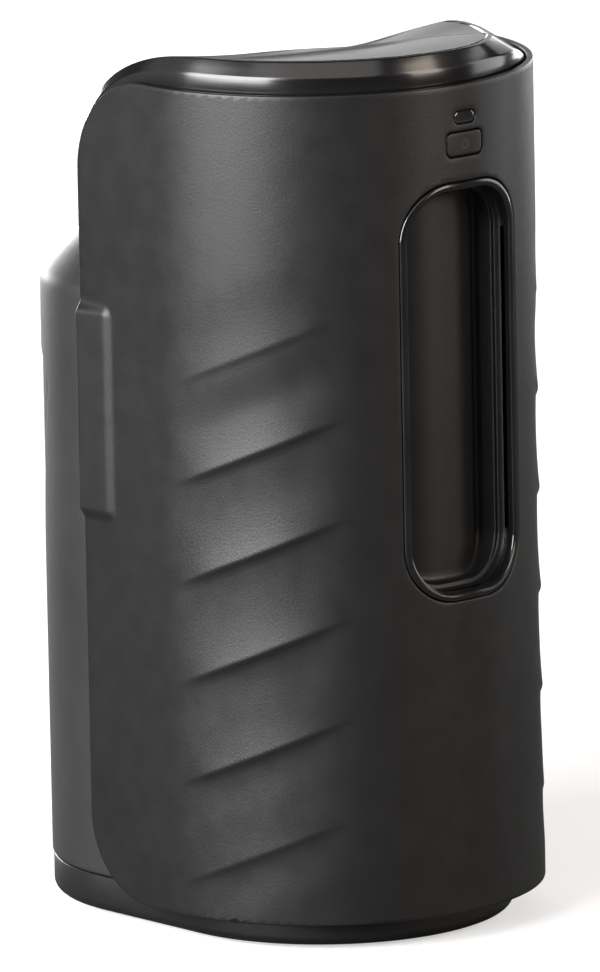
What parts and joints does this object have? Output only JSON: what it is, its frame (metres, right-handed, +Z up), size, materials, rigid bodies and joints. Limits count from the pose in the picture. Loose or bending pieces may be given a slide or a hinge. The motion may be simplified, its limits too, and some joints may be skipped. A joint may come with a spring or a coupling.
{
  "type": "car dryer blower",
  "caption": "Upright electric air blower for drying cars: matt cover round a long-oval core, glossy dished lid, front grip recess with power button, hose collar on a slanted rear deck.",
  "frame": {"origin": "on the floor under the middle of the bounding box", "axes": "+Z up; -Y is the front, with the grip recess and the power button; +Y is the rear, with the hose collar and the power inlet; +X is the right-hand side seen from the front"},
  "size_m": [0.1854, 0.227, 0.3744],
  "materials": {
    "cover_charcoal": "fine matt grain, charcoal",
    "core_graphite": "satin moulded plastic, graphite",
    "gloss_black": "polished black",
    "matt_black": "matt black moulded plastic",
    "button_black": "satin black",
    "smoked_lens": "smoked clear plastic",
    "rubber": "soft black rubber",
    "filter_foam": "open-cell foam",
    "natural_plastic": "light grey moulded plastic",
    "circuit_board": "green fibreglass board",
    "carbon": "pressed carbon",
    "bright_steel": "ground steel",
    "zinc_plate": "zinc-plated sheet steel",
    "cast_aluminium": "die-cast, satin",
    "copper": "enamelled copper"
  },
  "bodies": {
    "housing": {"front_cover": "cover_charcoal", "cover_spacer_left_low": "matt_black", "cover_spacer_left_high": "matt_black", "cover_spacer_right_low": "matt_black", "cover_spacer_right_high": "matt_black", "front_chassis": "core_graphite", "rear_shell": "core_graphite", "rear_panel": "matt_black", "base_tray": "matt_black", "top_lid": "gloss_black", "grip_trim_ring": "gloss_black", "grip_pocket": "matt_black", "button_bezel": "matt_black", "power_switch": "natural_plastic", "indicator_lens": "smoked_lens", "indicator_led": "natural_plastic", "switch_board": "circuit_board", "board_bracket": "zinc_plate", "hose_collar": "matt_black", "collar_seal": "rubber", "collar_screw_1": "bright_steel", "collar_screw_2": "bright_steel", "collar_screw_3": "bright_steel", "outlet_duct": "matt_black", "power_inlet": "matt_black", "noise_filter": "natural_plastic", "run_capacitor": "natural_plastic", "motor_plate": "matt_black", "intake_filter": "filter_foam", "filter_cage": "matt_black", "inlet_gasket": "rubber", "fan_cover": "zinc_plate", "diffuser": "cast_aluminium", "lower_bracket": "cast_aluminium", "upper_bracket": "cast_aluminium", "lower_bearing": "bright_steel", "upper_bearing": "bright_steel", "stator": "bright_steel", "field_coil_front": "copper", "brush_holder_front": "natural_plastic", "carbon_brush_front": "carbon", "field_coil_rear": "copper", "brush_holder_rear": "natural_plastic", "carbon_brush_rear": "carbon", "motor_bucket": "matt_black", "bucket_cap": "matt_black", "foot_front_left": "rubber", "foot_front_right": "rubber", "foot_rear_left": "rubber", "foot_rear_right": "rubber", "base_screw_front_left": "bright_steel", "base_screw_front_right": "bright_steel", "base_screw_rear_left": "bright_steel", "base_screw_rear_right": "bright_steel"},
    "rotor": {"motor_shaft": "bright_steel", "impeller": "cast_aluminium", "impeller_nut": "bright_steel", "armature": "copper", "commutator": "copper"},
    "button": {"power_button": "button_black"}
  },
  "joints": [
    {"name": "rotor_spin", "type": "hinge", "parent": "housing", "child": "rotor", "pos_m": [0, 0.0065, 0.15], "axis": [0, 0, 1], "continuous": true},
    {"name": "button_press", "type": "slide", "parent": "housing", "child": "button", "axis": [0, 1, 0], "range_m": [0, 0.0015], "stiffness_N_per_m": 600, "springref_m": -0.001}
  ]
}
